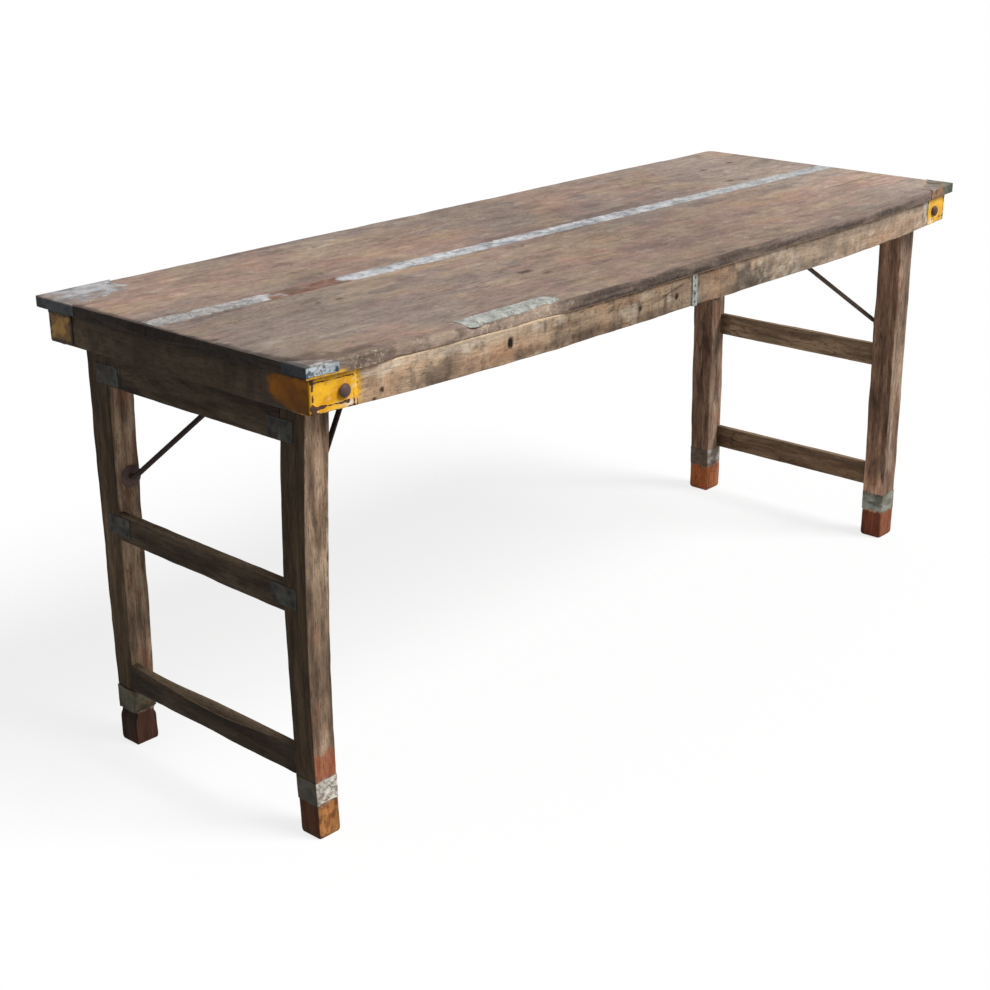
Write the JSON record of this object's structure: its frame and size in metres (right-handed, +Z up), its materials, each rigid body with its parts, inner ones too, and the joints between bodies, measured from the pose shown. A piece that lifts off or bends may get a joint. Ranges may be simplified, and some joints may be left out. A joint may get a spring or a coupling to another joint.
{
  "type": "folding table",
  "caption": "Old wooden folding table with a boarded top, bowed near side, tin mends, strapped corners and leg frames that fold flat under the top on bolts, held open by bent rod stays.",
  "frame": {"origin": "middle of the floor area under the table's box, on the floor", "axes": "+X along the table to the end with the out-of-square edge, +Y across to the straight far side, +Z up"},
  "size_m": [1.7698, 0.6474, 0.7608],
  "materials": {
    "top_wood": "weathered greyed pink-brown, dirty along the edges",
    "apron_wood": "bare tan wood with dark stains and nail holes",
    "under_wood": "bare sawn wood",
    "leg_wood": "dark worn wood with old paint at the feet",
    "worn_tin": "dull spotted sheet tin",
    "strap_paint": "chipped yellow paint over rust",
    "rusty_iron": "dark rust"
  },
  "bodies": {
    "table_top": {"top_board_near": "top_wood", "top_board_far": "top_wood", "long_apron_near": "apron_wood", "long_apron_far": "apron_wood", "end_apron_left": "apron_wood", "end_apron_right": "apron_wood", "centre_rail": "under_wood", "catch_batten_left": "under_wood", "catch_batten_right": "under_wood", "centre_strip": "worn_tin", "patch_strip": "worn_tin", "corner_cap_far_left": "worn_tin", "corner_cap_near_left": "worn_tin", "corner_cap_near_right": "worn_tin", "apron_strap": "worn_tin", "corner_strap_near_left": "strap_paint", "corner_strap_near_right": "strap_paint", "corner_strap_far_left": "strap_paint", "corner_strap_far_right": "strap_paint", "pivot_bolts": "rusty_iron", "pivot_spacers": "rusty_iron", "pivot_nuts": "rusty_iron", "stay_catch_left": "rusty_iron", "stay_catch_right": "rusty_iron"},
    "leg_frame_left": {"leg_near_left": "leg_wood", "foot_band_near_left": "worn_tin", "leg_far_left": "leg_wood", "foot_band_far_left": "worn_tin", "top_rail_left": "leg_wood", "mid_rail_left": "leg_wood", "low_rail_left": "leg_wood", "joint_plates_left": "worn_tin", "stay_washers_left": "rusty_iron"},
    "leg_frame_right": {"leg_near_right": "leg_wood", "foot_band_near_right": "worn_tin", "leg_far_right": "leg_wood", "foot_band_far_right": "worn_tin", "top_rail_right": "leg_wood", "mid_rail_right": "leg_wood", "low_rail_right": "leg_wood", "joint_plates_right": "worn_tin", "stay_washers_right": "rusty_iron"},
    "rod_stay_left": {"stay_left": "rusty_iron"},
    "rod_stay_right": {"stay_right": "rusty_iron"}
  },
  "joints": [
    {"name": "left_leg_fold", "type": "hinge", "parent": "table_top", "child": "leg_frame_left", "pos_m": [-0.8161, 0.01487, 0.714], "axis": [0, -1, 0], "range_deg": [0, 90.4]},
    {"name": "left_stay_fold", "type": "hinge", "parent": "leg_frame_left", "child": "rod_stay_left", "pos_m": [-0.8128, 0.01487, 0.47], "axis": [0, 1, 0], "range_deg": [0, 131]},
    {"name": "right_leg_fold", "type": "hinge", "parent": "table_top", "child": "leg_frame_right", "pos_m": [0.7919, 0.01487, 0.714], "axis": [0, 1, 0], "range_deg": [0, 90.4]},
    {"name": "right_stay_fold", "type": "hinge", "parent": "leg_frame_right", "child": "rod_stay_right", "pos_m": [0.7886, 0.01487, 0.47], "axis": [0, -1, 0], "range_deg": [0, 131]}
  ],
  "couplings": [
    {"joint": "left_stay_fold", "follows": "left_leg_fold", "ratio": 1.4478},
    {"joint": "right_stay_fold", "follows": "right_leg_fold", "ratio": 1.4478}
  ]
}
